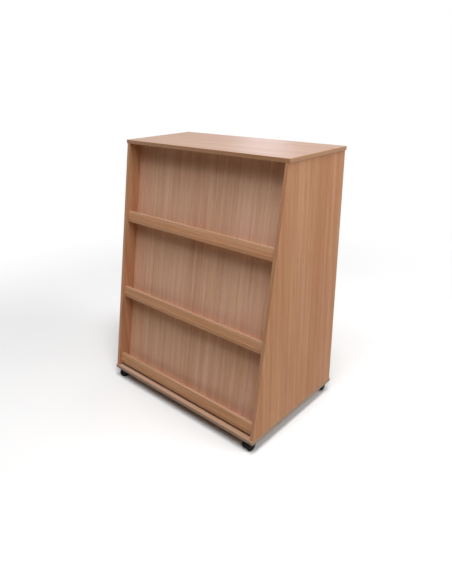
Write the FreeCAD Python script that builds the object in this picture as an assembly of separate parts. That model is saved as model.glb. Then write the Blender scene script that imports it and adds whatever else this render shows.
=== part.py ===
import FreeCAD, Part
import math
import os

# Mobile periodical display rack, single sided. Faced-board carcass on four twin-wheel castors, with a
# sloping display board and three ledges for face-out magazines. Millimetres. +Z is up and -Y is the front.
# The origin is on the floor, under the middle of the base panel.

# ---- boards ----
board = 16.0  # thickness of the faced board
edging = 2.0  # thickness of the edging strips
edging_round = 1.2  # rounding of an edging strip's outer corners
carcass_width = 900.0  # over the two side panels
side_top_depth = 385.0  # side panel, front to back, at its top
slope_angle = 10.535  # lean of the front edges and of the display board from vertical, degrees
top_side_overhang = 4.0  # top panel past each side panel
base_side_overhang = 2.5  # base panel past each side panel
base_front_overhang = 5.0  # base panel past the foot of the side panels' front edges
back_overhang = 2.0  # top and base panels past the side panels' back edges

# ---- display face; distances square to the slope are recesses, those along it are heights ----
display_recess = 65.0  # side panels' front edges to the display board's face
lip_recess = 15.5  # side panels' front edges to the lips' faces
shelf_proud = 2.5  # shelf edging in front of the lip's face
top_tier_height = 341.0  # top panel to the upper shelf
middle_tier_height = 356.0  # under the upper shelf to the middle shelf
bottom_tier_height = 340.0  # under the middle shelf to the lower shelf
under_shelf_gap = 2.4  # lower shelf's back corner to the base panel
lip_height = 33.5  # above the shelf
lip_capping = 3.0  # thickness of the strip on top of a lip
capping_round = 2.6  # rounding of its two upper corners

# ---- back panel ----
back_board = 8.0  # thickness of the back panel
back_inset = 12.0  # side panels' back edges to the back panel's outer face
groove_depth = 6.0
groove_clearance = 0.15  # each side of the back panel in its groove
groove_end_clearance = 0.5  # edge of the back panel to the bottom of its groove

# ---- joinery ----
dowel_radius = 4.0
dowel_length = 30.0
dowel_in_face = 11.0  # the part of a dowel that sits in a board's face
dowel_clearance = 0.1
dowel_end_clearance = 0.5
cam_radius = 7.5
cam_depth = 12.0
cam_distance = 34.0  # joint to the centre of a cam
cam_clearance = 0.1
cam_slot_length = 9.0  # screwdriver slot in a cam's face
cam_slot_width = 1.6
cam_slot_depth = 1.5
cam_bolt_radius = 3.0
cam_bolt_thread_radius = 5.0
cam_bolt_thread_length = 10.5
cam_bolt_stop = 3.75  # end of a cam bolt to the centre of its cam
screw_radius = 2.0
screw_head_radius = 4.0
screw_head_height = 2.4
screw_point = 4.0  # length of a screw's cone
screw_clearance = 0.05
shelf_screw_length = 45.0
lip_screw_length = 38.0
end_screw_distance = 70.0  # side panel to the first screw of a row
row_screw_count = 5
fixing_margin = 48.0  # from a panel or board to the first fixing of a row
rear_dowel_distance = 12.0  # display board to the rear dowels of a shelf

# ---- castors ----
castor_inset = 39.5  # base panel's edges to each swivel axis
castor_height = 50.0  # floor to the underside of the base panel
castor_width = 42.0  # over the two wheels
castor_trail = 15.0  # swivel axis to axle
wheel_radius = 20.0
wheel_width = 13.0
wheel_rim = 3.0
wheel_web = 2.6
wheel_dish = 0.8  # depth of the ring sunk in a wheel's outer face
wheel_round = 2.8
wheel_side_gap = 0.3  # hub to the castor body
axle_radius = 3.0
axle_cover = 3.9  # wheel's outer face to the end of the axle
running_clearance = 0.05  # radial
press_clearance = 0.02  # radial
snap_depth = 0.4  # retaining groove of a pin or axle
snap_width = 1.6
snap_ramp = 0.4  # length of the groove's sloping sides
axle_groove = 1.6  # end of the axle to its retaining groove
hub_wall = 3.0
hood_gap = 1.4
hood_wall = 1.8
hood_rear_angle = 42.0  # the hood's arc, in degrees round the axle from straight behind it
hood_front_angle = 168.0
body_web_radius = 16.5
kingpin_radius = 4.0
kingpin_wall = 3.5
kingpin_engagement = 27.0  # length of the pin inside the castor body
kingpin_groove = 9.0  # bottom of the pin to its retaining groove
collar_wall = 5.0
collar_height = 9.5
swivel_gap = 0.3
washer_thickness = 1.0
washer_wall = 4.5
plate_side = 42.0
plate_thickness = 2.5
plate_corner = 4.0
plate_screw_spacing = 32.0
plate_hole_clearance = 0.3
castor_screw_length = 15.0
pan_head_height = 2.0
pan_head_crown = 1.0  # height of the head's bevelled part
pan_head_flat_radius = 2.8
# Direction that each castor trails in at rest, in degrees from +X.
castor_headings = {
    "front_left": 210.0,
    "front_right": 264.0,
    "back_left": 150.0,
    "back_right": 94.0,
}

# ---- places worked out from the sizes above ----
lean = math.radians(slope_angle)
half_width = carcass_width / 2
inner_half = half_width - board
shelf_face = lip_recess - shelf_proud  # recess of the shelves' front faces
shelf_tops = [top_tier_height]
for tier_height in (middle_tier_height, bottom_tier_height):
    shelf_tops.append(shelf_tops[-1] + board + tier_height)
lowest_corner = (shelf_tops[-1] + board) * math.cos(lean) + display_recess * math.sin(lean)
side_height = lowest_corner + under_shelf_gap
side_foot_depth = side_top_depth + side_height * math.tan(lean)
base_depth = base_front_overhang + side_foot_depth + back_overhang
base_back = base_depth / 2
base_front = -base_depth / 2
side_back = base_back - back_overhang
side_front_top = side_back - side_top_depth
base_bottom = castor_height
base_top = base_bottom + board
top_bottom = base_top + side_height
back_outer = side_back - back_inset
back_inner = back_outer - back_board
ledges = ("upper", "middle", "lower")
sides = (("left", -1), ("right", 1))


def vector(x, y, z):
    return FreeCAD.Vector(x, y, z)


def on_slope(down, recess):
    """y and z of a point: down the slope from the top panel, and in from the front edges."""
    y = side_front_top - down * math.sin(lean) + recess * math.cos(lean)
    z = top_bottom - down * math.cos(lean) - recess * math.sin(lean)
    return y, z


down_slope = vector(0, -math.sin(lean), -math.cos(lean))
inward = vector(0, math.cos(lean), -math.sin(lean))
along_x = vector(1, 0, 0)
up = vector(0, 0, 1)


def slope_point(x, down, recess):
    y, z = on_slope(down, recess)
    return vector(x, y, z)


def box(low, high):
    size = [b - a for a, b in zip(low, high)]
    return Part.makeBox(size[0], size[1], size[2], vector(*low))


def prism_along_x(outline, x_low, x_high):
    """A solid with the given outline of (y, z) points, between two x positions."""
    points = [vector(x_low, y, z) for y, z in outline]
    face = Part.Face(Part.makePolygon(points + points[:1]))
    return face.extrude(vector(x_high - x_low, 0, 0))


def slope_block(x_low, x_high, down_low, down_high, recess_low, recess_high):
    """A block that lies square to the slope."""
    near = [on_slope(down, recess_low) for down in (down_high, down_low)]
    far = [on_slope(down, recess_high) for down in (down_low, down_high)]
    return prism_along_x(near + far, x_low, x_high)


def rod(radius, start, direction, length):
    return Part.makeCylinder(radius, length, start, direction)


def bar(start, along, length, across, width, out, height):
    """A block that is centred on start in length and width, and rises from it by its height."""
    ends = ((-length, -width), (length, -width), (length, width), (-length, width))
    points = [start + along * (a / 2) + across * (b / 2) for a, b in ends]
    return Part.Face(Part.makePolygon(points + points[:1])).extrude(out * height)


def turned(profile, centre=None, axis=None):
    """A solid of revolution about Z from (radius, z) points, then moved so that Z lies along axis."""
    points = [vector(r, 0, z) for r, z in profile]
    face = Part.Face(Part.makePolygon(points + points[:1]))
    solid = face.revolve(vector(0, 0, 0), up, 360)
    if axis is not None:
        solid.Placement = FreeCAD.Placement(centre, FreeCAD.Rotation(up, axis))
    return solid


def strip(start, along, length, out, width, thickness, rounding):
    """A strip with its back face centred on the line from start, and its two outer corners rounded."""
    across = along.cross(out)
    half = width / 2

    def at(side, height):
        return start + across * side + out * height

    def corner(side):
        """The rounded corner on one side: its low end, its middle and its high end."""
        diagonal = rounding * (1 - math.sqrt(0.5))
        low = at(side * half, thickness - rounding)
        middle = at(side * (half - diagonal), thickness - diagonal)
        return low, middle, at(side * (half - rounding), thickness)

    right, left = corner(1), corner(-1)
    edges = [
        Part.makeLine(at(-half, 0), at(half, 0)),
        Part.makeLine(at(half, 0), right[0]),
        Part.Arc(*right).toShape(),
        Part.makeLine(right[2], left[2]),
        Part.Arc(*reversed(left)).toShape(),
        Part.makeLine(left[0], at(-half, 0)),
    ]
    return Part.Face(Part.Wire(edges)).extrude(along * length)


def spread(first, last, count):
    """Evenly spaced positions from first to last."""
    return [first + (last - first) * i / (count - 1) for i in range(count)]


# ---- carcass boards ----
def side_core(sign):
    """Trapezoid between the top and base panels, less its front and back edging."""
    trim = edging / math.cos(lean)
    foot_front = side_back - side_foot_depth
    outline = (
        (foot_front + trim, base_top),
        (side_front_top + trim, top_bottom),
        (side_back - edging, top_bottom),
        (side_back - edging, base_top),
    )
    x_low, x_high = sorted((sign * inner_half, sign * half_width))
    return prism_along_x(outline, x_low, x_high)


def side_front_strip(sign):
    """Edging down the sloping front edge, trimmed level with the top and base panels."""
    middle = sign * (half_width - board / 2)
    length = side_height / math.cos(lean)
    start = slope_point(middle, -board, edging)
    band = strip(start, down_slope, board + length + board, inward * -1, board, edging, edging_round)
    between_panels = box((-half_width, -base_depth, base_top), (half_width, base_depth, top_bottom))
    return band.common(between_panels)


def side_back_strip(sign):
    start = vector(sign * (half_width - board / 2), side_back - edging, base_top)
    return strip(start, up, side_height, vector(0, 1, 0), board, edging, edging_round)


def panel_core(overhang, front, bottom):
    """The top or base panel, less the edging round it."""
    reach = half_width + overhang - edging
    return box((-reach, front + edging, bottom), (reach, base_back - edging, bottom + board))


def panel_strips(overhang, front, bottom):
    """Edging round the top or base panel: two strips front to back, two between them."""
    reach = half_width + overhang - edging
    middle = bottom + board / 2
    depth = base_back - front
    strips = []
    for sign in (-1, 1):
        start = vector(sign * reach, front, middle)
        strips.append(strip(start, vector(0, 1, 0), depth, along_x * sign, board, edging, edging_round))
    for y, out in ((front + edging, -1), (base_back - edging, 1)):
        start = vector(-reach, y, middle)
        strips.append(strip(start, along_x, 2 * reach, vector(0, out, 0), board, edging, edging_round))
    return strips


def display_core():
    """The sloping board, bevelled to meet the top and base panels."""
    face, back = display_recess, display_recess + board
    outline = []
    for z, recess in ((top_bottom, face), (top_bottom, back), (base_top, back), (base_top, face)):
        down = (top_bottom - z - recess * math.sin(lean)) / math.cos(lean)
        outline.append(on_slope(down, recess))
    return prism_along_x(outline, -inner_half, inner_half)


def back_core():
    """The back panel, held in grooves on all four sides."""
    reach = groove_depth - groove_end_clearance
    low = (-inner_half - reach, back_inner, base_top - reach)
    high = (inner_half + reach, back_outer, top_bottom + reach)
    return box(low, high)


def back_grooves():
    """One cutter for the grooves that hold the back panel."""
    low = (-inner_half - groove_depth, back_inner - groove_clearance, base_top - groove_depth)
    high = (inner_half + groove_depth, back_outer + groove_clearance, top_bottom + groove_depth)
    return box(low, high)


# ---- ledges ----
def shelf_core(top):
    return slope_block(-inner_half, inner_half, top, top + board, shelf_face + edging, display_recess)


def shelf_strip(top):
    start = slope_point(-inner_half, top + board / 2, shelf_face + edging)
    return strip(start, along_x, 2 * inner_half, inward * -1, board, edging, edging_round)


def lip_core(top):
    height = lip_height - lip_capping
    return slope_block(-inner_half, inner_half, top - height, top, lip_recess, lip_recess + board)


def lip_strip(top):
    """Rounded capping along the top of a lip."""
    start = slope_point(-inner_half, top - lip_height + lip_capping, lip_recess + board / 2)
    return strip(start, along_x, 2 * inner_half, down_slope * -1, board, lip_capping, capping_round)


# ---- fixings: each returns its pieces, and the holes in the board that it enters end-on and face-on ----
def dowel(joint, into_edge):
    """Dowel across a joint. into_edge points into the board that is drilled in its edge."""
    start = joint - into_edge * dowel_in_face
    hole_start = start - into_edge * dowel_end_clearance
    hole = rod(dowel_radius + dowel_clearance, hole_start, into_edge, dowel_length + 2 * dowel_end_clearance)
    return rod(dowel_radius, start, into_edge, dowel_length), hole


def cam_fitting(joint, into_edge, towards_cam):
    """Cam and bolt. The bolt is screwed in the other board's face, and its head lies in the cam."""
    thread_end = joint - into_edge * cam_bolt_thread_length
    bolt = rod(cam_bolt_thread_radius, thread_end, into_edge, cam_bolt_thread_length)
    bolt = bolt.fuse(rod(cam_bolt_radius, joint, into_edge, cam_distance - cam_bolt_stop))
    floor = joint + into_edge * cam_distance + towards_cam * (board / 2 - cam_depth)
    channel = rod(cam_bolt_radius + cam_clearance, joint, into_edge, cam_distance)
    cam = rod(cam_radius - cam_clearance, floor, towards_cam, cam_depth).cut(channel)
    slot_floor = floor + towards_cam * (cam_depth - cam_slot_depth)
    across = towards_cam.cross(into_edge)
    slot = bar(slot_floor, into_edge, cam_slot_length, across, cam_slot_width, towards_cam, cam_slot_depth)
    cam = cam.cut(slot)
    pocket = rod(cam_radius, floor, towards_cam, cam_depth).fuse(channel)
    thread = rod(cam_bolt_thread_radius + screw_clearance, thread_end, into_edge, cam_bolt_thread_length)
    return cam, bolt, pocket, thread


def countersunk_screw(head_face, direction, length):
    """Countersunk screw, head flush with the face that it enters, and the hole for it."""
    def profile(grow):
        return [
            (0, 0),
            (screw_head_radius + grow, 0),
            (screw_radius + grow, screw_head_height),
            (screw_radius + grow, length - screw_point),
            (0, length + grow),
        ]

    return turned(profile(0), head_face, direction), turned(profile(screw_clearance), head_face, direction)


def pan_head_screw(seat, direction, length):
    """Pan-head screw with its head behind the seat, and the pilot hole in the board."""
    profile = [
        (0, -pan_head_height),
        (pan_head_flat_radius, -pan_head_height),
        (screw_head_radius, pan_head_crown - pan_head_height),
        (screw_head_radius, 0),
        (screw_radius, 0),
        (screw_radius, length - screw_point),
        (0, length),
    ]
    hole = rod(screw_radius + screw_clearance, seat, direction, length + screw_clearance)
    return turned(profile, seat, direction), hole


pieces = {}  # node name: list of solids
holes = {}  # node name: list of cutters


def add(node, *solids):
    pieces.setdefault(node, []).extend(solids)


def drill(node, *cutters):
    holes.setdefault(node, []).extend(cutters)


def add_dowel(joint, into_edge, edge_board, face_board):
    peg, hole = dowel(joint, into_edge)
    add("wood_dowels", peg)
    drill(edge_board, hole)
    drill(face_board, hole)


def add_cam(joint, into_edge, towards_cam, edge_board, face_board):
    cam, bolt, pocket, thread = cam_fitting(joint, into_edge, towards_cam)
    add("cam_discs", cam)
    add("cam_bolts", bolt)
    drill(edge_board, pocket)
    drill(face_board, thread)


def build_boards():
    for name, sign in sides:
        add("side_panel_" + name, side_core(sign))
        add("side_front_edging_" + name, side_front_strip(sign))
        add("side_back_edging_" + name, side_back_strip(sign))
        drill("side_panel_" + name, back_grooves())
    add("top_panel", panel_core(top_side_overhang, side_front_top, top_bottom))
    add("top_edging", *panel_strips(top_side_overhang, side_front_top, top_bottom))
    add("base_panel", panel_core(base_side_overhang, base_front, base_bottom))
    add("base_edging", *panel_strips(base_side_overhang, base_front, base_bottom))
    for name in ("top_panel", "base_panel"):
        drill(name, back_grooves())
    add("display_board", display_core())
    add("back_panel", back_core())
    for name, top in zip(ledges, shelf_tops):
        add("shelf_" + name, shelf_core(top))
        add("shelf_edging_" + name, shelf_strip(top))
        add("lip_" + name, lip_core(top))
        add("lip_capping_" + name, lip_strip(top))


def join_sides_to_panels():
    """Cams behind the display board, dowels between them and one dowel in front of it."""
    levels = (("top_panel", top_bottom, vector(0, 0, -1)), ("base_panel", base_top, up))
    for name, sign in sides:
        middle = sign * (half_width - board / 2)
        for panel, z, into_side in levels:
            front = side_front_top - (top_bottom - z) * math.tan(lean)
            display_back = front + (display_recess + board) / math.cos(lean)
            rows = spread(display_back + fixing_margin, back_inner - fixing_margin, 3)
            for y in rows:
                add_cam(vector(middle, y, z), into_side, along_x * -sign, "side_panel_" + name, panel)
            dowel_places = [front + display_recess / 2]
            dowel_places += [(a + b) / 2 for a, b in zip(rows, rows[1:])]
            for y in dowel_places:
                add_dowel(vector(middle, y, z), into_side, "side_panel_" + name, panel)


def join_display_board():
    """Cams in its back face, one in the middle of each tier's height."""
    depth = display_recess + board / 2
    tier_tops = [0] + [top + board for top in shelf_tops[:-1]]
    for name, sign in sides:
        for above, below in zip(tier_tops, shelf_tops):
            middle = (above + below) / 2
            joint = slope_point(sign * inner_half, middle, depth)
            add_cam(joint, along_x * -sign, inward, "display_board", "side_panel_" + name)
            joint = slope_point(sign * inner_half, middle + fixing_margin, depth)
            add_dowel(joint, along_x * -sign, "display_board", "side_panel_" + name)


def join_ledges():
    """Shelf ends on dowels, and screws up into the lips and through the display board into the shelves."""
    dowel_recesses = (lip_recess + board, display_recess - rear_dowel_distance)
    screw_row = spread(end_screw_distance - inner_half, inner_half - end_screw_distance, row_screw_count)
    for ledge, top in zip(ledges, shelf_tops):
        for name, sign in sides:
            for recess in dowel_recesses:
                joint = slope_point(sign * inner_half, top + board / 2, recess)
                add_dowel(joint, along_x * -sign, "shelf_" + ledge, "side_panel_" + name)
        for x in screw_row:
            behind = slope_point(x, top + board / 2, display_recess + board)
            screw, hole = countersunk_screw(behind, inward * -1, shelf_screw_length)
            add("shelf_screws", screw)
            drill("display_board", hole)
            drill("shelf_" + ledge, hole)
            below = slope_point(x, top + board, lip_recess + board / 2)
            screw, hole = countersunk_screw(below, down_slope * -1, lip_screw_length)
            add("lip_screws", screw)
            drill("shelf_" + ledge, hole)
            drill("lip_" + ledge, hole)


# ---- castor, about its own swivel axis, standing on z = 0 and trailing along +X ----
plate_bottom = castor_height - plate_thickness
washer_bottom = plate_bottom - washer_thickness
collar_top = washer_bottom - swivel_gap
kingpin_bottom = collar_top - kingpin_engagement
hub_inner = castor_width / 2 - wheel_width
body_half = hub_inner - wheel_side_gap
axle_centre = vector(castor_trail, 0, wheel_radius)
axle_end = castor_width / 2 - axle_cover
snap_at = axle_end - axle_groove - snap_width
hood_inner = wheel_radius + hood_gap
hood_outer = hood_inner + hood_wall


def wheel(sign):
    """Hollow wheel with a blind hub that snaps on the axle. sign is the side of the castor that it is on."""
    bore = axle_radius + running_clearance
    bead = bore - snap_depth
    hub = bore + hub_wall
    outer = castor_width / 2
    web_inner = outer - wheel_dish - wheel_web
    inner_rim = wheel_radius - wheel_rim
    bevel = wheel_round * (1 - math.sqrt(0.5))
    dish_out = inner_rim - wheel_dish
    dish_in = hub + wheel_dish
    profile = [
        (0, axle_end + running_clearance),
        (bore, axle_end + running_clearance),
        (bore, snap_at + snap_width),
        (bead, snap_at + snap_width - snap_ramp),
        (bead, snap_at + snap_ramp),
        (bore, snap_at),
        (bore, hub_inner),
        (hub, hub_inner),
        (hub, web_inner),
        (inner_rim, web_inner),
        (inner_rim, hub_inner),
        (wheel_radius - wheel_round / 2, hub_inner),
        (wheel_radius, hub_inner + wheel_round / 2),
        (wheel_radius, outer - wheel_round),
        (wheel_radius - bevel, outer - bevel),
        (wheel_radius - wheel_round, outer),
        (dish_out, outer),
        (dish_out - wheel_dish, outer - wheel_dish),
        (dish_in + wheel_dish, outer - wheel_dish),
        (dish_in, outer),
        (0, outer),
    ]
    return turned(profile, axle_centre, vector(0, sign, 0))


def snap_rod(radius, length, grooves):
    """Round pin along +Z from the origin, with a retaining groove at each of the given heights."""
    profile = [(0, 0), (radius, 0)]
    for height in grooves:
        profile += [
            (radius, height),
            (radius - snap_depth, height + snap_ramp),
            (radius - snap_depth, height + snap_width - snap_ramp),
            (radius, height + snap_width),
        ]
    return profile + [(radius, length), (0, length)]


def axle():
    grooves = (axle_groove, axle_end + snap_at)
    start = axle_centre - vector(0, axle_end, 0)
    return turned(snap_rod(axle_radius, 2 * axle_end, grooves), start, vector(0, 1, 0))


def kingpin():
    length = castor_height - kingpin_bottom
    return turned(snap_rod(kingpin_radius, length, (kingpin_groove,)), vector(0, 0, kingpin_bottom), up)


def ring_sector(inner, outer, start_angle, end_angle, half_length):
    """Part of a ring round the axle, symmetric about the castor's middle."""
    def at(radius, angle):
        turn = math.radians(angle)
        return axle_centre + vector(radius * math.cos(turn), -half_length, radius * math.sin(turn))

    middle = (start_angle + end_angle) / 2
    edges = [
        Part.makeLine(at(inner, start_angle), at(outer, start_angle)),
        Part.Arc(at(outer, start_angle), at(outer, middle), at(outer, end_angle)).toShape(),
        Part.makeLine(at(outer, end_angle), at(inner, end_angle)),
        Part.Arc(at(inner, end_angle), at(inner, middle), at(inner, start_angle)).toShape(),
    ]
    return Part.Face(Part.Wire(edges)).extrude(vector(0, 2 * half_length, 0))


def castor_body():
    """Web between the wheels, hood over them, and the barrel that turns on the kingpin."""
    barrel_radius = kingpin_radius + kingpin_wall
    collar_radius = kingpin_radius + collar_wall
    barrel_bottom = kingpin_bottom - kingpin_wall
    web_start = axle_centre - vector(0, body_half, 0)
    body = rod(body_web_radius, web_start, vector(0, 1, 0), 2 * body_half)
    web = ring_sector(axle_radius + hub_wall, hood_outer, hood_rear_angle, hood_front_angle, body_half)
    hood = ring_sector(hood_inner, hood_outer, hood_rear_angle, hood_front_angle, castor_width / 2)
    barrel = rod(barrel_radius, vector(0, 0, barrel_bottom), up, collar_top - barrel_bottom)
    flats = box((-barrel_radius, -body_half, 0), (barrel_radius, body_half, castor_height))
    collar = rod(collar_radius, vector(0, 0, collar_top - collar_height), up, collar_height)
    body = body.multiFuse([web, hood, barrel.common(flats), collar])
    body = body.cut(turned(kingpin_bore(), vector(0, 0, kingpin_bottom), up))
    axle_hole = rod(axle_radius + press_clearance, web_start, vector(0, 1, 0), 2 * body_half)
    return body.cut(axle_hole).removeSplitter()


def kingpin_bore():
    """Profile of the body's blind bore, with a bead that sits in the kingpin's groove."""
    radius = kingpin_radius + running_clearance
    bead_start = kingpin_groove + running_clearance
    bead_end = kingpin_groove + snap_width - running_clearance
    return [
        (0, -running_clearance),
        (radius, -running_clearance),
        (radius, bead_start),
        (radius - snap_depth, bead_start + snap_ramp),
        (radius - snap_depth, bead_end - snap_ramp),
        (radius, bead_end),
        (radius, kingpin_engagement),
        (0, kingpin_engagement),
    ]


def castor_washer():
    inner = kingpin_radius + running_clearance
    outer = kingpin_radius + washer_wall
    return turned([(inner, 0), (outer, 0), (outer, washer_thickness), (inner, washer_thickness)],
                  vector(0, 0, washer_bottom), up)


def plate_screw_places():
    reach = plate_screw_spacing / 2
    return [vector(x, y, plate_bottom) for x in (-reach, reach) for y in (-reach, reach)]


def castor_plate():
    half = plate_side / 2
    plate = box((-half, -half, plate_bottom), (half, half, castor_height))
    corners = [edge for edge in plate.Edges if abs(edge.tangentAt(0).z) > 0.9]
    plate = plate.makeFillet(plate_corner, corners)
    plate = plate.cut(rod(kingpin_radius + press_clearance, vector(0, 0, plate_bottom), up, plate_thickness))
    for place in plate_screw_places():
        plate = plate.cut(rod(screw_radius + plate_hole_clearance, place, up, plate_thickness))
    return plate


def placed(shape, heading, x, y):
    moved = shape.copy()
    moved.Placement = FreeCAD.Placement(vector(x, y, 0), FreeCAD.Rotation(up, heading)) * moved.Placement
    return moved


def build_castors():
    """Plates stay square to the base panel. Bodies, axles and wheels take their castor's heading."""
    reach_x = half_width + base_side_overhang - castor_inset
    reach_y = base_back - castor_inset
    for corner, heading in castor_headings.items():
        x = reach_x * (-1 if corner.endswith("left") else 1)
        y = reach_y * (-1 if corner.startswith("front") else 1)
        add("castor_plate_" + corner, placed(castor_plate(), 0, x, y))
        add("castor_kingpins", placed(kingpin(), 0, x, y))
        add("castor_washers", placed(castor_washer(), 0, x, y))
        add("castor_body_" + corner, placed(castor_body(), heading, x, y))
        add("castor_axle_" + corner, placed(axle(), heading, x, y))
        for hand, sign in (("a", 1), ("b", -1)):
            add("castor_wheel_" + corner + "_" + hand, placed(wheel(sign), heading, x, y))
        for place in plate_screw_places():
            screw, hole = pan_head_screw(place, up, castor_screw_length)
            add("castor_screws", placed(screw, 0, x, y))
            drill("base_panel", placed(hole, 0, x, y))


def write_parts():
    os.makedirs("parts", exist_ok=True)
    for node, solids in pieces.items():
        cutters = holes.get(node)
        if cutters:
            solids = [solid.cut(cutters) for solid in solids]
        shape = solids[0] if len(solids) == 1 else Part.makeCompound(solids)
        shape.exportStep("parts/" + node + ".step")


build_boards()
join_sides_to_panels()
join_display_board()
join_ledges()
build_castors()
write_parts()
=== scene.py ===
import math

import bmesh
import bpy
from mathutils import Matrix, Quaternion, Vector


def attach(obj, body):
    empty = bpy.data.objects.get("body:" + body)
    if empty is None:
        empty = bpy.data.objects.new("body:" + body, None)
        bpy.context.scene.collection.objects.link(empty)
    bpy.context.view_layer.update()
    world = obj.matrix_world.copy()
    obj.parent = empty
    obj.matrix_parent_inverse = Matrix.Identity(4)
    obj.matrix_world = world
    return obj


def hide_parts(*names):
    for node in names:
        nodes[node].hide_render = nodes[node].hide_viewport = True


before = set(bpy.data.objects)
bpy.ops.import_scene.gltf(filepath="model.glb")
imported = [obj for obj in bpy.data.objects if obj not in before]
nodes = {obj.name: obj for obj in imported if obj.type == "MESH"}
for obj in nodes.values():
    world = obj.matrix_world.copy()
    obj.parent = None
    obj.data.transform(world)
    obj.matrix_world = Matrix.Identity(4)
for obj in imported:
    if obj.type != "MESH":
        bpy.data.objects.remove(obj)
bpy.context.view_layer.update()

MM = 0.001
X, Y, Z = Vector((1, 0, 0)), Vector((0, 1, 0)), Vector((0, 0, 1))
LEDGES = ("upper", "middle", "lower")
CORNERS = ("front_left", "front_right", "back_left", "back_right")
SIDES = ("left", "right")


# ---- direction read from the frame ----
def slope_direction():
    """Up the sloping front edges, from the foot of a side panel to its top."""
    corners = [v.co for v in nodes["side_panel_right"].data.vertices]
    floor, ceiling = (level(v.z for v in corners) for level in (min, max))
    foot = min((v for v in corners if v.z < floor + MM), key=lambda v: v.y)
    head = min((v for v in corners if v.z > ceiling - MM), key=lambda v: v.y)
    rise = head - foot
    rise.x = 0
    return rise.normalized()


UP_SLOPE = slope_direction()


# ---- materials ----
SIDEWAYS = 0.7  # share of X in a normal, past which a face counts as a left or right one
CORNER_ROUND = 0.6 * MM  # how round the corners shade
BEVEL_SAMPLES = 4
WEAR_STEPS = (0.80, 0.985)  # cosines of the rounded normal's turn at full wear and at none


def srgb(red, green, blue):
    """Linear colour of an 8-bit sRGB one."""
    def linear(value):
        value /= 255
        return value / 12.92 if value <= 0.04045 else ((value + 0.055) / 1.055) ** 2.4

    return (linear(red), linear(green), linear(blue), 1.0)


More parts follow.
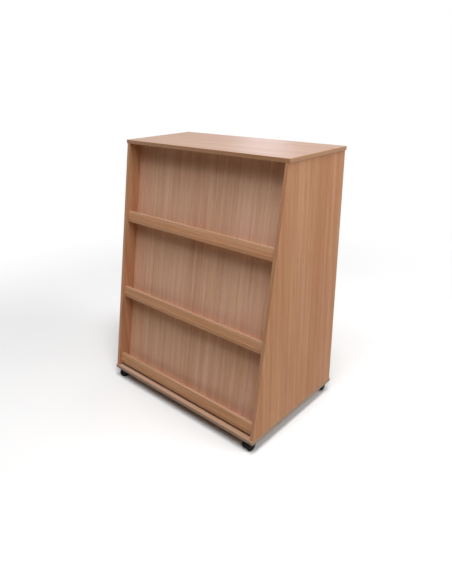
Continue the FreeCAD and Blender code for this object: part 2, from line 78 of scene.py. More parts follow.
class Finish:
    """A material with a Principled shader, and short ways to add nodes to it."""

    def __init__(self, name, **sockets):
        self.material = bpy.data.materials.new(name)
        self.material.use_nodes = True
        self.tree = self.material.node_tree
        self.shader = self.tree.nodes["Principled BSDF"]
        for socket, value in sockets.items():
            self.shader.inputs[socket.replace("_", " ")].default_value = value

    def add(self, kind, inputs=(), **settings):
        node = self.tree.nodes.new(kind)
        for name, value in settings.items():
            setattr(node, name, value)
        for name, value in dict(inputs).items():
            if isinstance(value, bpy.types.NodeSocket):
                self.tree.links.new(value, node.inputs[name])
            else:
                node.inputs[name].default_value = value
        return node

    def link(self, output, socket):
        self.tree.links.new(output, self.shader.inputs[socket])

    def place(self, grain=X, offset=(0, 0, 0)):
        """Coordinates of the piece in metres, turned so that X runs along the grain."""
        coords = self.add("ShaderNodeTexCoord").outputs["Object"]
        turn = Vector(grain).rotation_difference(X).to_euler()
        inputs = {"Vector": coords, "Location": offset, "Rotation": turn}
        return self.add("ShaderNodeMapping", inputs).outputs[0]

    def place_rim(self, offset=(0, 0, 0)):
        """Coordinates whose X runs along the strips of a rim: along Y on the faces at its left and right."""
        normal = self.add("ShaderNodeTexCoord").outputs["Normal"]
        sideways = self.math("ABSOLUTE", self.add("ShaderNodeSeparateXYZ", {0: normal}).outputs["X"], 0)
        at_end = self.math("GREATER_THAN", sideways, SIDEWAYS)
        inputs = {0: at_end, 4: self.place(X, offset), 5: self.place(Y, offset)}
        return self.add("ShaderNodeMix", inputs, data_type="VECTOR").outputs[1]

    def leaves(self, coords, width):
        """A random value for each leaf of veneer, side by side across the grain."""
        split = self.add("ShaderNodeSeparateXYZ", {0: coords})
        across = self.math("ADD", split.outputs["Y"], split.outputs["Z"])
        count = self.math("FLOOR", self.math("DIVIDE", across, width), 0)
        return self.add("ShaderNodeTexWhiteNoise", {"W": count}, noise_dimensions="1D").outputs["Value"]

    def scaled(self, coords, size):
        scale = [1 / s for s in size]
        return self.add("ShaderNodeMapping", {"Vector": coords, "Scale": scale}).outputs[0]

    def waver(self, coords, size, reach):
        """The coordinates, pushed to and fro across the grain."""
        inputs = {"Vector": self.scaled(coords, size), "Scale": 1.0, "Detail": 1.0}
        drift = self.add("ShaderNodeTexNoise", inputs).outputs["Color"]
        inputs = {0: drift, 1: (0, reach, reach), 2: coords}
        return self.add("ShaderNodeVectorMath", inputs, operation="MULTIPLY_ADD").outputs[0]

    def noise(self, coords, size, detail=2.0, roughness=0.5):
        """Noise whose features have the given size, in metres, along each axis."""
        inputs = {"Vector": self.scaled(coords, size), "Scale": 1.0, "Detail": detail, "Roughness": roughness}
        return self.add("ShaderNodeTexNoise", inputs).outputs["Fac"]

    def ramp(self, value, *stops):
        """Colours or grey levels at positions along the value."""
        node = self.add("ShaderNodeValToRGB", {"Fac": value})
        elements = node.color_ramp.elements
        while len(elements) < len(stops):
            elements.new(0.5)
        for element, (position, colour) in zip(elements, stops):
            element.position = position
            element.color = colour if isinstance(colour, tuple) else (colour, colour, colour, 1.0)
        return node.outputs["Color"]

    def math(self, operation, a, b, clamp=False):
        return self.add("ShaderNodeMath", {0: a, 1: b}, operation=operation, use_clamp=clamp).outputs[0]

    def mix(self, blend, factor, a, b):
        node = self.add("ShaderNodeMix", data_type="RGBA", blend_type=blend)
        for index, value in ((0, factor), (6, a), (7, b)):
            if isinstance(value, bpy.types.NodeSocket):
                self.tree.links.new(value, node.inputs[index])
            else:
                node.inputs[index].default_value = value
        return node.outputs[2]

    def span(self, value, low, high, steps=(0.0, 1.0)):
        """The value, spread from steps to low and high."""
        inputs = {"Value": value, "From Min": steps[0], "From Max": steps[1], "To Min": low, "To Max": high}
        return self.add("ShaderNodeMapRange", inputs).outputs[0]

    def bump(self, height, distance, strength=1.0):
        """Relief on a surface whose corners shade as if rounded."""
        rounded = self.add("ShaderNodeBevel", {"Radius": CORNER_ROUND}, samples=BEVEL_SAMPLES).outputs[0]
        inputs = {"Height": height, "Distance": distance, "Strength": strength, "Normal": rounded}
        self.link(self.add("ShaderNodeBump", inputs).outputs[0], "Normal")

    def corner_wear(self, radius):
        """Near 1 along outer corners, by how far the rounded normal turns from the real one."""
        rounded = self.add("ShaderNodeBevel", {"Radius": radius}, samples=BEVEL_SAMPLES).outputs[0]
        true = self.add("ShaderNodeNewGeometry").outputs["Normal"]
        turn = self.add("ShaderNodeVectorMath", {0: rounded, 1: true}, operation="DOT_PRODUCT")
        return self.span(turn.outputs["Value"], 1.0, 0.0, steps=WEAR_STEPS)


BEECH_SIDE = srgb(197, 149, 115)
BEECH_DISPLAY = srgb(219, 177, 150)
BEECH_TOP = srgb(160, 123, 100)
# Paler and pinker than the side panels: the base board's beech with a painted sheen, standing in for the
# shine on its top face.
BEECH_BASE_AND_SHEEN = srgb(187, 152, 127)
BEECH_LEDGE = srgb(205, 157, 121)
BEECH_STRIP = srgb(180, 130, 92)
BEECH_SHELF_STRIP = srgb(171, 123, 84)
# Paler and pinker than the edging strips: the cappings' beech with a painted highlight along their rounded
# tops.
BEECH_CAP_AND_HIGHLIGHT = srgb(181, 142, 113)
BEECH_RIM = srgb(171, 126, 89)
# Greyer and pinker than the top's rim: the base edging's beech with a painted sheen along its front edge.
BEECH_FOOT_AND_SHEEN = srgb(151, 122, 96)
PALE_SHARE = (1.13, 1.23, 1.28)  # of the middle colour, in the palest streaks
DEEP_SHARE = (0.87, 0.77, 0.72)
FLECK_SHARE = (0.42, 0.34, 0.30)
ROSY = (1.01, 0.985, 1.03)
HONEY = (0.99, 1.012, 0.955)
LEAF_WIDTH = 0.115
LEAF_JUMP = (5.0, 5.0, 5.0)  # how far the grain of one leaf may lie from the next one's, in metres
WAVER_SIZE = (0.35, 0.15, 0.15)
WAVER_REACH = 0.006

# Sizes of the grain's features in metres: along the grain, and twice across it.
BAND_SIZE = (1.1, 0.05, 0.05)
FIGURE_SIZE = (0.8, 0.018, 0.018)
STREAK_SIZE = (0.4, 0.0052, 0.0052)
FIBRE_SIZE = (0.1, 0.0016, 0.0016)
PATCH_SIZE = (0.22, 0.028, 0.028)
TINT_SIZE = (0.3, 0.05, 0.05)
PORE_SIZE = (0.011, 0.0006, 0.0006)

# How strongly they show.
BAND_LEVEL = 0.5
FIBRE_LEVEL = 0.6
PATCH_STRENGTH = (0.35, 2.0)  # of the streaks, in the calmest and in the liveliest patches
PORE_STEPS = (0.60, 0.72)
PORE_DEPTH = 0.42
WEAR_RADIUS = 1.2 * MM
WEAR_DEPTH = 0.3
SIDE_SHIFT = {"left": (0.0, 2.31, 0.0), "right": (0.9, 4.155, 0.0)}
EDGE_SHINE = 0.5
BOARD_SHINE = 0.06


def shade(colour, share):
    return tuple(c * k for c, k in zip(colour, share)) + (1.0,)


def beech(name, middle, grain, offset, shine=BOARD_SHINE, figured=0.74, streaked=0.43, leafed=0.1):
    """Beech-faced board: leaves of veneer with bands, figure, fine streaks and short pores along the grain.

    The grain is a direction, or None for the strips of a rim."""
    finish = Finish(name, IOR=1.5, Specular_IOR_Level=shine)
    pale, deep, fleck = (shade(middle, share) for share in (PALE_SHARE, DEEP_SHARE, FLECK_SHARE))
    straight = finish.place(grain, offset) if grain else finish.place_rim(offset)
    leaf = finish.leaves(straight, LEAF_WIDTH)
    coords = finish.waver(straight, WAVER_SIZE, WAVER_REACH)
    inputs = {0: leaf, 1: LEAF_JUMP, 2: coords}
    coords = finish.add("ShaderNodeVectorMath", inputs, operation="MULTIPLY_ADD").outputs[0]
    bands = finish.noise(coords, BAND_SIZE)
    figure = finish.noise(coords, FIGURE_SIZE, detail=3.0, roughness=0.6)
    streaks = finish.noise(coords, STREAK_SIZE, detail=3.0, roughness=0.6)
    fibres = finish.noise(coords, FIBRE_SIZE, detail=3.0, roughness=0.6)
    banded = finish.span(bands, -BAND_LEVEL, BAND_LEVEL)
    level = finish.math("ADD", banded, finish.span(figure, -figured, figured))
    patches = finish.noise(coords, PATCH_SIZE, detail=1.0)
    strength = finish.span(patches, *PATCH_STRENGTH, steps=(0.35, 0.65))
    streaky = finish.math("MULTIPLY", finish.span(streaks, -streaked, streaked), strength)
    level = finish.math("ADD", level, streaky)
    level = finish.math("ADD", level, finish.span(fibres, -FIBRE_LEVEL, FIBRE_LEVEL))
    level = finish.math("ADD", level, finish.span(leaf, -leafed, 0.5 * leafed))
    level = finish.math("ADD", level, 0.5, clamp=True)
    colour = finish.ramp(level, (0.0, deep), (0.5, middle), (1.0, pale))
    tint = finish.noise(coords, TINT_SIZE, detail=1.0)
    warmth = finish.ramp(tint, (0.32, ROSY + (1.0,)), (0.68, HONEY + (1.0,)))
    colour = finish.mix("MULTIPLY", 1.0, colour, warmth)
    pores = finish.noise(coords, PORE_SIZE, detail=1.0)
    pore = finish.span(pores, 0.0, 1.0, steps=PORE_STEPS)
    colour = finish.mix("MIX", finish.math("MULTIPLY", pore, PORE_DEPTH), colour, fleck)
    wear = finish.corner_wear(WEAR_RADIUS)
    colour = finish.mix("MIX", finish.math("MULTIPLY", wear, WEAR_DEPTH), colour, pale)
    finish.link(colour, "Base Color")
    finish.link(finish.span(streaks, 0.34, 0.50), "Roughness")
    height = finish.math("SUBTRACT", fibres, pore)
    finish.bump(height, 0.06 * MM, 0.5)
    return finish.material


def black_nylon(name, grime):
    """Moulded black nylon, satin, with a little dust."""
    finish = Finish(name, IOR=1.5, Specular_IOR_Level=0.1)
    coords = finish.place()
    grain = finish.noise(coords, (0.0009,) * 3, detail=3.0)
    cloud = finish.noise(coords, (0.012,) * 3, detail=3.0)
    dust = finish.math("MULTIPLY", finish.span(cloud, 0.0, 1.0, steps=(0.45, 0.75)), grime)
    colour = finish.mix("MIX", dust, srgb(6, 6, 5), srgb(22, 20, 18))
    wear = finish.corner_wear(0.6 * MM)
    colour = finish.mix("MIX", finish.math("MULTIPLY", wear, 0.35), colour, srgb(22, 21, 20))
    finish.link(colour, "Base Color")
    finish.link(finish.span(cloud, 0.36, 0.56), "Roughness")
    finish.bump(grain, 0.03 * MM, 0.5)
    return finish.material


def zinc(name, colour, roughness):
    """Zinc plate: metal with a faint crystalline mottle."""
    finish = Finish(name, Metallic=1.0, Roughness=roughness)
    coords = finish.place()
    mottle = finish.noise(coords, (0.0022,) * 3, detail=3.0)
    fine = finish.noise(coords, (0.0004,) * 3, detail=2.0)
    dark = tuple(0.72 * c for c in colour[:3]) + (1.0,)
    finish.link(finish.ramp(mottle, (0.3, dark), (0.7, colour)), "Base Color")
    finish.link(finish.span(mottle, roughness - 0.08, roughness + 0.12), "Roughness")
    finish.bump(fine, 0.01 * MM, 0.4)
    return finish.material


def bare_wood(name):
    finish = Finish(name, Roughness=0.6)
    coords = finish.place(X)
    fibres = finish.noise(coords, (0.03, 0.0008, 0.0008), detail=3.0)
    finish.link(finish.ramp(fibres, (0.3, srgb(188, 152, 108)), (0.7, srgb(219, 187, 143))), "Base Color")
    finish.bump(fibres, 0.05 * MM)
    return finish.material


# ---- finishes on the CAD nodes ----
def dress(node, material):
    piece = nodes[node]
    piece.data.materials.clear()
    piece.data.materials.append(material)


def dress_boards():
    for index, side in enumerate(SIDES):
        board = beech("beech_side_" + side, BEECH_SIDE, Z, SIDE_SHIFT[side], figured=0.85, leafed=0.34)
        dress("side_panel_" + side, board)
        edge = beech("beech_side_edging_" + side, BEECH_STRIP, UP_SLOPE, (2.1, 0.83 + index, 0.0), EDGE_SHINE)
        dress("side_front_edging_" + side, edge)
        dress("side_back_edging_" + side, edge)
    dress("top_panel", beech("beech_top", BEECH_TOP, X, (0.2, 0.57, 0.0), 0.45))
    # The base panel's colour carries a painted sheen along its front.
    dress("base_panel", beech("beech_base", BEECH_BASE_AND_SHEEN, X, (1.3, 0.11, 0.0)))
    rim = beech("beech_top_edging", BEECH_RIM, None, (0.7, 0.23, 0.4), EDGE_SHINE)
    dress("top_edging", rim)
    # The base edging's colour carries a painted sheen.
    foot = beech("beech_base_edging", BEECH_FOOT_AND_SHEEN, None, (1.7, 0.63, 0.1), EDGE_SHINE)
    dress("base_edging", foot)
    display = beech("beech_display", BEECH_DISPLAY, UP_SLOPE, (0.4, 0.73, 0.0))
    dress("display_board", display)
    dress("back_panel", beech("beech_back", BEECH_SIDE, Z, (1.9, 0.37, 0.0)))
    for index, ledge in enumerate(LEDGES):
        offset = (0.6 * index, 0.29 * index, 0.17)
        board = beech("beech_ledge_" + ledge, BEECH_LEDGE, X, offset, figured=1.2, streaked=0.85)
        dress("shelf_" + ledge, board)
        dress("lip_" + ledge, board)
        offset = (1.0 + index, 0.4 + index, 0.9)
        strip = beech("beech_ledge_edging_" + ledge, BEECH_SHELF_STRIP, X, offset, EDGE_SHINE)
        dress("shelf_edging_" + ledge, strip)
        offset = (1.3 + index, 0.7 + index, 0.2)
        # The cappings' colour carries a painted highlight along their tops.
        capping = beech("beech_capping_" + ledge, BEECH_CAP_AND_HIGHLIGHT, X, offset, EDGE_SHINE)
        dress("lip_capping_" + ledge, capping)


def dress_fittings():
    dress("wood_dowels", bare_wood("dowel_wood"))
    steel = zinc("zinc_plated_steel", (0.62, 0.62, 0.63, 1.0), 0.34)
    alloy = zinc("cam_zinc", (0.55, 0.55, 0.57, 1.0), 0.45)
    for node in ("cam_discs", "cam_bolts"):
        dress(node, alloy)
    for node in ("shelf_screws", "lip_screws", "castor_kingpins", "castor_washers"):
        dress(node, steel)
    for corner in CORNERS:
        dress("castor_plate_" + corner, steel)
        dress("castor_axle_" + corner, steel)
    build_castors(black_nylon("castor_nylon", 0.35), black_nylon("wheel_nylon", 0.7), steel)


# ---- castors, in millimetres about their own swivel axis, trailing along +X ----
WHEEL_TURN = 72  # faces round a wheel
BARREL_TURN = 48  # faces round a castor's barrel
HEAD_TURN = 40  # faces round a screw's head
WHEEL_OUT = 21.0  # castor's middle to a wheel's outer face
WHEEL_IN = 8.0
WHEEL_RADIUS = 20.0
RIM_INNER = 17.0
HUB_RADIUS = 6.05
BORE_RADIUS = 3.05
WEB_IN = 17.6  # castor's middle to the inside of a wheel's disc
HOOD_INNER, HOOD_OUTER = 21.4, 23.2
HOOD_ARC = (42.0, 168.0)  # degrees round the axle from straight behind it
BODY_HALF = 7.7
BODY_RADIUS = 16.5
BARREL_RADIUS = 7.5
BARREL = (15.7, 46.2)  # heights of the barrel's ends
COLLAR_RADIUS = 9.0
COLLAR_HEIGHT = 9.5
PLATE_SCREW_REACH = 16.0
HUB_CHAMFER = 0.4
WEB_FILLET = 1.0
RIM_CHAMFER = 0.6
POCKET_END = 17.15  # castor's middle to the end of the axle's pocket
TREAD_ROUND = 1.4
SHOULDER_ROUND = 2.8
GROOVE_MOUTH, GROOVE_FLOOR = 0.5, 0.15  # half widths of the tread's parting groove
GROOVE_DEPTH = 0.2
RIB_COUNT = 8
RIB_TURN = 11  # degrees of the first rib
RIB_HALF = 0.6
RIB_IN = 9.5  # castor's middle to the ribs' free edges
RIB_BITE = 0.5  # how far a rib runs into hub and rim
WEB_BITE = 0.6  # how far ribs run into a wheel's disc, and the web into the hood
BODY_ROUND = 0.55
BARREL_ROUND = 1.0
COLLAR_ROUND_LOW, COLLAR_ROUND_HIGH = 0.6, 0.5
COLLAR_GROOVE = 1.2  # below the collar's top
COLLAR_GROOVE_DEPTH = 0.3
COLLAR_GROOVE_MOUTH, COLLAR_GROOVE_FLOOR = 0.3, 0.1  # half widths
HEAD_RADIUS = 4.0
HEAD_HEIGHT = 2.0
HEAD_ROUND = 1.4
SHANK_RADIUS = 2.0
SHANK_LENGTH = 11.0
SCREW_LENGTH = 15.0
RECESS_REACH, RECESS_HALF = 2.3, 0.55
RECESS_FLOOR = 0.7  # seat to the bottom of the recess
RECESS_TAPER = 0.5  # its reach at the bottom, as a share of that at the mouth
RECESS_CLEARANCE = 0.2  # how far its cutter stands out of the head
SHARP_TO_ROUND = 40  # degrees from which an edge is rounded
SHARP_TO_SHADE = 32  # degrees from which an edge shades as sharp


def middle(node):
    """Middle of a CAD node's box."""
    piece = nodes[node]
    corners = [piece.matrix_world @ Vector(corner) for corner in piece.bound_box]
    return sum(corners, Vector()) / 8


def castor_frame(corner):
    """Places a castor: its swivel axis on the floor, its trail, and the height of its axle."""
    pivot, axle = middle("castor_plate_" + corner), middle("castor_axle_" + corner)
    trail = axle - pivot
    heading = Matrix.Rotation(math.atan2(trail.y, trail.x), 4, "Z")
    place = Matrix.Translation((pivot.x, pivot.y, 0)) @ heading @ Matrix.Scale(MM, 4)
    return place, Vector((math.hypot(trail.x, trail.y), 0, axle.z)) / MM


def arc(centre, radius, start, end, steps=6):
    """Points of an arc in a profile, with angles in degrees from the first axis."""
    turns = [math.radians(start + (end - start) * step / steps) for step in range(steps + 1)]
    return [(centre[0] + radius * math.cos(turn), centre[1] + radius * math.sin(turn)) for turn in turns]


def lathe(mesh, profile, axis, origin, steps=WHEEL_TURN):
    """Skin of (radius, distance) points turned about an axis through the origin. Its ends lie on the axis."""
    across = Vector(axis).orthogonal().normalized()
    along = Vector(axis).normalized()
    rings = []
    for radius, distance in profile:
        count = steps if radius > 0 else 1
        turns = [Quaternion(along, 2 * math.pi * step / steps) for step in range(count)]
        centre = Vector(origin) + along * distance
        rings.append([mesh.verts.new(centre + turn @ across * radius) for turn in turns])
    faces = []
    for ring, after in zip(rings, rings[1:]):
        for step in range(steps):
            corners = [ring[step % len(ring)], ring[(step + 1) % len(ring)]]
            corners += [after[(step + 1) % len(after)], after[step % len(after)]]
            corners = list(dict.fromkeys(corners))
            if len(corners) > 2:
                faces.append(mesh.faces.new(corners))
    return faces


def prism(mesh, outline, low, high, to_space):
    """Closed solid between two copies of an outline. to_space places an outline point at a distance."""
    rings = [[mesh.verts.new(to_space(point, distance)) for point in outline] for distance in (low, high)]
    faces = [mesh.faces.new(rings[0]), mesh.faces.new(rings[1][::-1])]
    for step in range(len(outline)):
        after = (step + 1) % len(outline)
        faces.append(mesh.faces.new((rings[0][after], rings[0][step], rings[1][step], rings[1][after])))
    return faces


def soften(mesh, width):
    """Rounds every sharp edge."""
    sharp = [edge for edge in mesh.edges if edge.calc_face_angle(0) > math.radians(SHARP_TO_ROUND)]
    bmesh.ops.bevel(mesh, geom=sharp, offset=width, segments=3, affect="EDGES", clamp_overlap=True)


def finished(mesh, name, place, material):
    """Object of a mesh with outward faces, smooth but for its sharp edges."""
    bmesh.ops.recalc_face_normals(mesh, faces=mesh.faces)
    for face in mesh.faces:
        face.smooth = True
    for edge in mesh.edges:
        edge.smooth = edge.calc_face_angle(0) < math.radians(SHARP_TO_SHADE)
    data = bpy.data.meshes.new(name)
    mesh.transform(place)
    mesh.to_mesh(data)
    mesh.free()
    data.materials.append(material)
    piece = bpy.data.objects.new(name, data)
    bpy.context.scene.collection.objects.link(piece)
    return piece


def wheel_profile():
    """Half section of a hollow wheel, as (radius, distance from the castor's middle)."""
    tread = (WHEEL_IN + WHEEL_OUT) / 2
    web_edge = WEB_IN - WEB_FILLET
    shoulder = (WHEEL_RADIUS - SHOULDER_ROUND, WHEEL_OUT - SHOULDER_ROUND)
    return [
        (0, POCKET_END),
        (BORE_RADIUS, POCKET_END),
        (BORE_RADIUS, WHEEL_IN + HUB_CHAMFER),
        (BORE_RADIUS + HUB_CHAMFER, WHEEL_IN),
        (HUB_RADIUS - HUB_CHAMFER, WHEEL_IN),
        (HUB_RADIUS, WHEEL_IN + HUB_CHAMFER),
        *arc((HUB_RADIUS + WEB_FILLET, web_edge), WEB_FILLET, 180, 90),
        *arc((RIM_INNER - WEB_FILLET, web_edge), WEB_FILLET, 90, 0),
        (RIM_INNER, WHEEL_IN + RIM_CHAMFER),
        (RIM_INNER + RIM_CHAMFER, WHEEL_IN),
        *arc((WHEEL_RADIUS - TREAD_ROUND, WHEEL_IN + TREAD_ROUND), TREAD_ROUND, -90, -8),
        (WHEEL_RADIUS, tread - GROOVE_MOUTH),
        (WHEEL_RADIUS - GROOVE_DEPTH, tread - GROOVE_FLOOR),
        (WHEEL_RADIUS - GROOVE_DEPTH, tread + GROOVE_FLOOR),
        (WHEEL_RADIUS, tread + GROOVE_MOUTH),
        *arc(shoulder, SHOULDER_ROUND, 8, 90, 8),
        # The outer face: a flat ring, a sunk ring with a bead in it, and the cap.
        (16.5, WHEEL_OUT),
        *arc((16.1, WHEEL_OUT - 0.4), 0.4, 90, 160, 3),
        *arc((15.2, WHEEL_OUT - 0.4), 0.4, -20, -90, 3),
        (12.6, WHEEL_OUT - 0.7),
        *arc((12.0, WHEEL_OUT - 0.75), 0.35, 10, 170, 4),
        (11.3, WHEEL_OUT - 0.7),
        *arc((7.9, WHEEL_OUT - 0.3), 0.5, -90, -170, 3),
        *arc((6.7, WHEEL_OUT - 0.45), 0.45, 20, 90, 3),
        (3.2, WHEEL_OUT),
        *arc((2.6, WHEEL_OUT - 0.3), 0.3, 60, 0, 1),
        (1.4, WHEEL_OUT - 0.45),
        (0, WHEEL_OUT - 0.5),
    ]


def build_wheel(corner, hand, place, axle, material):
    """Moulded wheel: tread with its parting groove, ringed outer face with a cap, and ribs inside."""
    side = 1 if hand == "a" else -1
    mesh = bmesh.new()
    lathe(mesh, wheel_profile(), (0, side, 0), axle)
    start, end = HUB_RADIUS - RIB_BITE, RIM_INNER + RIB_BITE
    outline = [(start, -RIB_HALF), (end, -RIB_HALF), (end, RIB_HALF), (start, RIB_HALF)]
    for rib in range(RIB_COUNT):
        turn = Quaternion((0, 1, 0), math.radians(360 / RIB_COUNT * rib + RIB_TURN))
        prism(mesh, outline, RIB_IN * side, (WEB_IN + WEB_BITE) * side,
              lambda point, distance: axle + turn @ Vector((point[0], distance, point[1])))
    name = "moulded_wheel_" + corner + "_" + hand
    wheel = finished(mesh, name, place, material)
    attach(wheel, "wheel_" + corner + "_" + hand)
    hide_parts("castor_wheel_" + corner + "_" + hand)


def build_castor_body(corner, place, axle, material):
    """Moulded body: hood over both wheels, web between them, and the barrel and collar round the kingpin."""
    mesh = bmesh.new()

    def beside(point, distance):
        return axle + Vector((point[0], distance, point[1]))

    start, end = HOOD_ARC
    hood = arc((0, 0), HOOD_OUTER, start, end, 40) + arc((0, 0), HOOD_INNER, end, start, 40)
    prism(mesh, hood, -WHEEL_OUT, WHEEL_OUT, beside)
    web = arc((0, 0), HOOD_INNER + WEB_BITE, start + 1, end - 1, 40)
    web += arc((0, 0), HUB_RADIUS, end - 1, start + 1, 20)
    prism(mesh, web, -BODY_HALF, BODY_HALF, beside)
    prism(mesh, arc((0, 0), BODY_RADIUS, 0, 354, 59), -BODY_HALF, BODY_HALF, beside)
    soften(mesh, BODY_ROUND)
    low, high = BARREL
    barrel = [
        (0, low),
        *arc((BARREL_RADIUS - BARREL_ROUND, low + BARREL_ROUND), BARREL_ROUND, -90, 0, 4),
        (BARREL_RADIUS, high - BARREL_ROUND),
        (0, high - BARREL_ROUND),
    ]
    lathe(mesh, barrel, Z, (0, 0, 0), BARREL_TURN)
    groove = high - COLLAR_GROOVE
    step = high - COLLAR_HEIGHT
    low_round = (COLLAR_RADIUS - COLLAR_ROUND_LOW, step + COLLAR_ROUND_LOW)
    high_round = (COLLAR_RADIUS - COLLAR_ROUND_HIGH, high - COLLAR_ROUND_HIGH)
    collar = [
        (0, step),
        *arc(low_round, COLLAR_ROUND_LOW, -90, 0, 4),
        (COLLAR_RADIUS, groove - COLLAR_GROOVE_MOUTH),
        (COLLAR_RADIUS - COLLAR_GROOVE_DEPTH, groove - COLLAR_GROOVE_FLOOR),
        (COLLAR_RADIUS - COLLAR_GROOVE_DEPTH, groove + COLLAR_GROOVE_FLOOR),
        (COLLAR_RADIUS, groove + COLLAR_GROOVE_MOUTH),
        *arc(high_round, COLLAR_ROUND_HIGH, 0, 90, 4),
        (0, high),
    ]
    lathe(mesh, collar, Z, (0, 0, 0), BARREL_TURN)
    body = finished(mesh, "moulded_body_" + corner, place, material)
    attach(body, "swivel_" + corner)
    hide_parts("castor_body_" + corner)


def cross_head():
    """Mesh of a pan-head screw that stands on its seat, with a cross recess in the head below."""
    mesh = bmesh.new()
    profile = [
        (0, -HEAD_HEIGHT),
        *arc((HEAD_RADIUS - HEAD_ROUND, HEAD_ROUND - HEAD_HEIGHT), HEAD_ROUND, -90, 0),
        (HEAD_RADIUS, 0),
        (SHANK_RADIUS, 0),
        (SHANK_RADIUS, SHANK_LENGTH),
        (0, SCREW_LENGTH),
    ]
    lathe(mesh, profile, Z, (0, 0, 0), HEAD_TURN)
    screw = finished(mesh, "cross_head", Matrix(), None)
    mesh = bmesh.new()
    mouth = [(x * RECESS_REACH, y * RECESS_HALF) for x, y in ((-1, -1), (1, -1), (1, 1), (-1, 1))]

    def inside(point, height):
        reach = point[0] * (RECESS_TAPER if height == -RECESS_FLOOR else 1)
        return turn @ Vector((reach, point[1], height))

    for quarter in (0, 90):
        turn = Matrix.Rotation(math.radians(quarter), 3, "Z")
        prism(mesh, mouth, -HEAD_HEIGHT - RECESS_CLEARANCE, -RECESS_FLOOR, inside)
    cutter = finished(mesh, "recess", Matrix(), None)
    recess = screw.modifiers.new("recess", "BOOLEAN")
    recess.object = cutter
    recess.solver = "EXACT"
    recess.use_self = True
    bpy.context.view_layer.update()
    shape = bpy.data.meshes.new_from_object(screw.evaluated_get(bpy.context.evaluated_depsgraph_get()))
    bpy.data.objects.remove(screw)
    bpy.data.objects.remove(cutter)
    return shape


def build_castor_screws(material):
    shape = cross_head()
    mesh = bmesh.new()
    reaches = (-PLATE_SCREW_REACH, PLATE_SCREW_REACH)
    for index, corner in enumerate(CORNERS):
        plate = nodes["castor_plate_" + corner]
        seat = min((plate.matrix_world @ vertex.co).z for vertex in plate.data.vertices)
        pivot = middle("castor_plate_" + corner)
        for number, (x, y) in enumerate((x, y) for x in reaches for y in reaches):
            place = Matrix.Translation((pivot.x + x * MM, pivot.y + y * MM, seat))
            turn = Matrix.Rotation(math.radians(37 * number + 23 * index), 4, "Z")
            screw = shape.copy()
            screw.transform(place @ turn @ Matrix.Scale(MM, 4))
            mesh.from_mesh(screw)
            bpy.data.meshes.remove(screw)
    screws = finished(mesh, "cross_head_screws", Matrix(), material)
    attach(screws, "carcass")
    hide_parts("castor_screws")


def build_castors(body_material, wheel_material, screw_material):
    for corner in CORNERS:
        place, axle = castor_frame(corner)
        build_castor_body(corner, place, axle, body_material)
        for hand in "ab":
            build_wheel(corner, hand, place, axle, wheel_material)
    build_castor_screws(screw_material)


# ---- stage ----
FLOOR_HALF = 14.0
FLOOR_SEEN = 0.9  # how pale the floor looks
FLOOR_BOUNCE = (0.42, 0.34, 0.26, 1.0)  # its colour to the light that the rack gets back from it
FLOOR_FADE = (1.3, 2.8)  # distances between which the floor turns into the white background


def seen(tree):
    """1 for rays of the camera, of reflections and of see-through pieces, 0 for bounced light."""
    path = tree.nodes.new("ShaderNodeLightPath")
    total = path.outputs["Is Camera Ray"]
    for kind in ("Is Glossy Ray", "Is Transmission Ray"):
        larger = tree.nodes.new("ShaderNodeMath")
        larger.operation = "MAXIMUM"
        tree.links.new(total, larger.inputs[0])
        tree.links.new(path.outputs[kind], larger.inputs[1])
        total = larger.outputs[0]
    return total


def floor_material():
    finish = Finish("studio_floor", Roughness=0.9)
    coords = finish.place()
    looked_at = seen(finish.tree)
    mottle = finish.noise(coords, (0.6, 0.6, 0.6), detail=2.0)
    pale = finish.ramp(mottle, (0.3, FLOOR_SEEN), (0.7, FLOOR_SEEN + 0.01))
    finish.link(finish.mix("MIX", looked_at, FLOOR_BOUNCE, pale), "Base Color")
    distance = finish.add("ShaderNodeVectorMath", {0: coords}, operation="LENGTH").outputs["Value"]
    inputs = {"Value": distance, "From Min": FLOOR_FADE[0], "From Max": FLOOR_FADE[1]}
    fade = finish.add("ShaderNodeMapRange", inputs, interpolation_type="SMOOTHSTEP").outputs[0]
    white = finish.add("ShaderNodeEmission", {"Color": (1.0, 1.0, 1.0, 1.0), "Strength": 1.0})
    blend = finish.add("ShaderNodeMixShader", {0: finish.math("MULTIPLY", fade, looked_at)})
    finish.tree.links.new(finish.shader.outputs[0], blend.inputs[1])
    finish.tree.links.new(white.outputs[0], blend.inputs[2])
    finish.tree.links.new(blend.outputs[0], finish.tree.nodes["Material Output"].inputs["Surface"])
    return finish.material


def build_floor():
    mesh = bpy.data.meshes.new("studio_floor")
    corners = [(x * FLOOR_HALF, y * FLOOR_HALF, 0) for x, y in ((-1, -1), (1, -1), (1, 1), (-1, 1))]
    mesh.from_pydata(corners, [], [(0, 1, 2, 3)])
    mesh.materials.append(floor_material())
    floor = bpy.data.objects.new("studio_floor", mesh)
    bpy.context.scene.collection.objects.link(floor)


def area_light(name, place, aim, size, power, colour):
    lamp = bpy.data.lights.new(name, "AREA")
    lamp.shape = "RECTANGLE"
    lamp.size, lamp.size_y = size
    lamp.energy = power
    lamp.color = colour
    light = bpy.data.objects.new(name, lamp)
    light.location = place
    light.rotation_mode = "QUATERNION"
    light.rotation_quaternion = (Vector(aim) - Vector(place)).to_track_quat("-Z", "Y")
    bpy.context.scene.collection.objects.link(light)


WORLD_LIGHT = 0.0


def build_world():
    world = bpy.data.worlds.new("studio_world")
    world.use_nodes = True
    tree = world.node_tree
    background = tree.nodes["Background"]
    background.inputs["Color"].default_value = (1.0, 1.0, 1.0, 1.0)
    strength = tree.nodes.new("ShaderNodeMapRange")
    strength.inputs["To Min"].default_value = WORLD_LIGHT
    strength.inputs["To Max"].default_value = 1.0
    tree.links.new(seen(tree), strength.inputs["Value"])
    tree.links.new(strength.outputs[0], background.inputs["Strength"])
    bpy.context.scene.world = world


LAMP_AIM = Vector((0, -0.05, 0.6))
LAMP_DISTANCE = 5.0
WHITE = (1.0, 1.0, 1.0)
WINDOW_BLUE = (0.78, 0.83, 1.0)


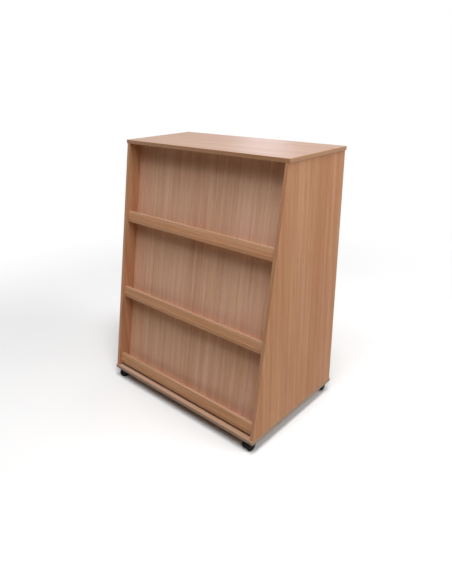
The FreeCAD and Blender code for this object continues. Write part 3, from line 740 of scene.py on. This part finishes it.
def lamp_round(name, azimuth, elevation, size, power, colour=WHITE):
    """An area lamp that faces the rack. Azimuth 0 is in front of it, and 90 on its right."""
    turn, rise = math.radians(azimuth), math.radians(elevation)
    away = Vector((math.sin(turn) * math.cos(rise), -math.cos(turn) * math.cos(rise), math.sin(rise)))
    area_light(name, LAMP_AIM + away * LAMP_DISTANCE, LAMP_AIM, size, power, colour)


def build_lights():
    lamp_round("ceiling_front", 5, 66, (1.0, 1.0), 47)
    lamp_round("ceiling_soft", 5, 66, (2.4, 2.4), 23)
    lamp_round("ceiling_right", 60, 75, (1.6, 1.6), 139)
    lamp_round("ceiling_back", 100, 78, (1.6, 1.6), 42)
    lamp_round("right", 50, 45, (1.6, 1.6), 33)
    lamp_round("right_back", 112, 30, (2.4, 2.4), 105)
    lamp_round("window_glint", 215, 18, (0.6, 1.6), 6.3, WINDOW_BLUE)
    lamp_round("left_fill", 265, 10, (2.4, 2.4), 60)
    lamp_round("back_fill", 183, 10, (2.4, 2.4), 55)


# The camera, in metres and degrees. The shifts are shares of the picture's long side.
CAMERA_PLACE = Vector((1.4361, -1.4911, 1.4366))
CAMERA_AZIMUTH = 41.287
CAMERA_ELEVATION = 23.099
CAMERA_ROLL = -0.858
CAMERA_LENS = 30.067  # in millimetres, as is the sensor
CAMERA_SENSOR = 36.0
CAMERA_SHIFT = (-0.0200, -0.0193)


def build_camera():
    data = bpy.data.cameras.new("photo_camera")
    data.sensor_width = CAMERA_SENSOR
    data.lens = CAMERA_LENS
    data.shift_x, data.shift_y = CAMERA_SHIFT
    camera = bpy.data.objects.new("photo_camera", data)
    azimuth, elevation = math.radians(CAMERA_AZIMUTH), math.radians(CAMERA_ELEVATION)
    level = math.cos(elevation)
    forward = Vector((-math.sin(azimuth) * level, math.cos(azimuth) * level, -math.sin(elevation)))
    roll = Quaternion(Z, math.radians(CAMERA_ROLL))
    camera.rotation_mode = "QUATERNION"
    camera.rotation_quaternion = forward.to_track_quat("-Z", "Y") @ roll
    camera.location = CAMERA_PLACE
    bpy.context.scene.collection.objects.link(camera)
    bpy.context.scene.camera = camera


dress_boards()
dress_fittings()
build_floor()
build_world()
build_lights()
build_camera()
bpy.context.scene.view_settings.view_transform = "Standard"
